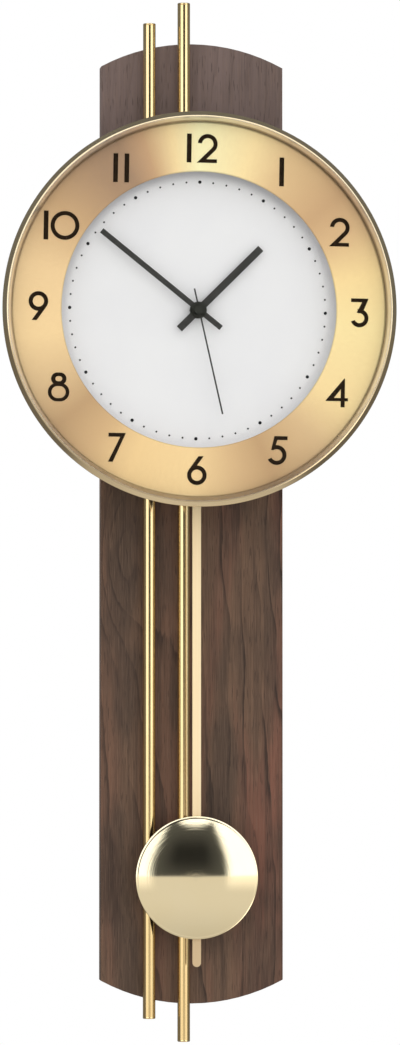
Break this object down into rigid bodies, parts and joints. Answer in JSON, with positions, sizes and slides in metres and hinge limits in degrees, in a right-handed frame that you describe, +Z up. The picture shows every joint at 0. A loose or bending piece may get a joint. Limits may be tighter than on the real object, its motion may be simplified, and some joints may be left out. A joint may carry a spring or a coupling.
{
  "type": "radio-controlled wall clock",
  "caption": "Tall wall clock: a round glazed dial with a gold numeral ring on an arched wooden board, long brass tubes in front of it, and a pendulum bar with a domed bob below.",
  "frame": {"origin": "centre of the keyhole's round hole in the hanger plate, on the plane of the wall", "axes": "+Z up along the board, +X to the right as seen from the front, the clock faces -Y and the wall is the plane Y = 0"},
  "size_m": [0.2496, 0.071, 0.6628],
  "materials": {
    "walnut": "open-grained satin veneer",
    "zinc_plate": "bright zinc",
    "black_rubber": "matt",
    "tube_brass": "polished and lacquered",
    "dark_paint": "satin dark brown",
    "bezel_gold": "polished pale gold",
    "glass": "flat, clear",
    "ring_gold": "gold anodised, brushed round the centre",
    "print_brown": "printed ink",
    "print_black": "printed ink",
    "dial_white": "satin white",
    "case_black": "moulded, lightly textured",
    "hand_grey": "dark grey lacquer",
    "gear_plastic": "moulded acetal",
    "rotor_dark": "magnet-filled plastic",
    "stator_steel": "soft magnetic steel",
    "copper_wire": "enamelled copper wire",
    "circuit_green": "solder-masked laminate",
    "chip_black": "moulded epoxy",
    "ferrite": "sintered ferrite",
    "cell_sleeve": "plain sleeve",
    "contact_nickel": "nickel-plated spring steel",
    "button_grey": "moulded",
    "arm_white": "moulded acetal",
    "bar_gold": "satin, pale gold",
    "bob_gold": "mirror polished"
  },
  "bodies": {
    "clock": {"back_panel": "walnut", "hanger_plate": "zinc_plate", "hanger_screws": "zinc_plate", "wall_bumpers": "black_rubber", "left_tube": "tube_brass", "right_tube": "tube_brass", "tube_caps": "tube_brass", "tube_saddles": "tube_brass", "tube_screws": "zinc_plate", "head_spacers": "dark_paint", "head_screws": "zinc_plate", "rear_shell": "dark_paint", "bezel": "bezel_gold", "bezel_screws": "zinc_plate", "glass": "glass", "glass_gasket": "black_rubber", "numeral_ring": "ring_gold", "numerals": "print_brown", "dial_plate": "dial_white", "hour_dots": "print_black", "minute_dots": "print_black", "movement_base": "case_black", "movement_cover": "case_black", "rubber_washer": "black_rubber", "centre_washer": "dark_paint", "centre_nut": "dark_paint", "motor_stators": "stator_steel", "motor_coils": "copper_wire", "circuit_board": "circuit_green", "quartz_crystal": "contact_nickel", "receiver_chip": "chip_black", "button_switches": "chip_black", "antenna_rod": "ferrite", "antenna_winding": "copper_wire", "battery_cell": "cell_sleeve", "battery_contacts": "contact_nickel", "drive_coil": "copper_wire", "pendulum_pin": "contact_nickel"},
    "minute_body": {"minute_hand": "hand_grey", "minute_wheel": "gear_plastic"},
    "hour_body": {"hour_hand": "hand_grey", "hour_wheel": "gear_plastic"},
    "second_body": {"second_hand": "hand_grey", "second_wheel": "gear_plastic"},
    "motion_wheel": {"motion_wheel": "gear_plastic"},
    "minute_transfer_wheel": {"minute_transfer_wheel": "gear_plastic"},
    "minute_rotor": {"minute_rotor": "rotor_dark"},
    "second_transfer_wheel": {"second_transfer_wheel": "gear_plastic"},
    "second_rotor": {"second_rotor": "rotor_dark"},
    "pendulum": {"pendulum_hanger": "arm_white", "drive_magnet": "stator_steel", "pendulum_bar": "bar_gold", "bob_shell": "bob_gold", "bob_back": "dark_paint", "bob_clip": "zinc_plate"},
    "set_button": {"set_button": "button_grey"},
    "receive_button": {"receive_button": "button_grey"}
  },
  "joints": [
    {"name": "minute_turn", "type": "hinge", "parent": "clock", "child": "minute_body", "pos_m": [0, -0.05, -0.13], "axis": [0, 1, 0], "continuous": true},
    {"name": "hour_turn", "type": "hinge", "parent": "clock", "child": "hour_body", "pos_m": [0, -0.05, -0.13], "axis": [0, 1, 0], "continuous": true},
    {"name": "motion_wheel_turn", "type": "hinge", "parent": "clock", "child": "motion_wheel", "pos_m": [-0.00525, -0.05, -0.12091], "axis": [0, 1, 0], "continuous": true},
    {"name": "minute_transfer_turn", "type": "hinge", "parent": "clock", "child": "minute_transfer_wheel", "pos_m": [-0.0042, -0.05, -0.13728], "axis": [0, 1, 0], "continuous": true},
    {"name": "minute_rotor_turn", "type": "hinge", "parent": "clock", "child": "minute_rotor", "pos_m": [-0.0078, -0.05, -0.14351], "axis": [0, 1, 0], "continuous": true},
    {"name": "second_turn", "type": "hinge", "parent": "clock", "child": "second_body", "pos_m": [0, -0.05, -0.13], "axis": [0, 1, 0], "continuous": true},
    {"name": "second_transfer_turn", "type": "hinge", "parent": "clock", "child": "second_transfer_wheel", "pos_m": [-0.00728, -0.05, -0.1258], "axis": [0, 1, 0], "continuous": true},
    {"name": "second_rotor_turn", "type": "hinge", "parent": "clock", "child": "second_rotor", "pos_m": [-0.01351, -0.05, -0.1222], "axis": [0, 1, 0], "continuous": true},
    {"name": "pendulum_swing", "type": "hinge", "parent": "clock", "child": "pendulum", "pos_m": [0.0012, -0.034, -0.118], "axis": [0, 1, 0], "range_deg": [-4, 4]},
    {"name": "set_button_press", "type": "slide", "parent": "clock", "child": "set_button", "axis": [0, -1, 0], "range_m": [0, 0.0012], "stiffness_N_per_m": 200},
    {"name": "receive_button_press", "type": "slide", "parent": "clock", "child": "receive_button", "axis": [0, -1, 0], "range_m": [0, 0.0012], "stiffness_N_per_m": 200}
  ],
  "couplings": [
    {"joint": "hour_turn", "follows": "minute_turn", "ratio": 0.083333},
    {"joint": "motion_wheel_turn", "follows": "minute_turn", "ratio": -0.33333},
    {"joint": "minute_transfer_turn", "follows": "minute_turn", "ratio": -6},
    {"joint": "minute_rotor_turn", "follows": "minute_turn", "ratio": 30},
    {"joint": "second_transfer_turn", "follows": "second_turn", "ratio": -6},
    {"joint": "second_rotor_turn", "follows": "second_turn", "ratio": 30}
  ]
}
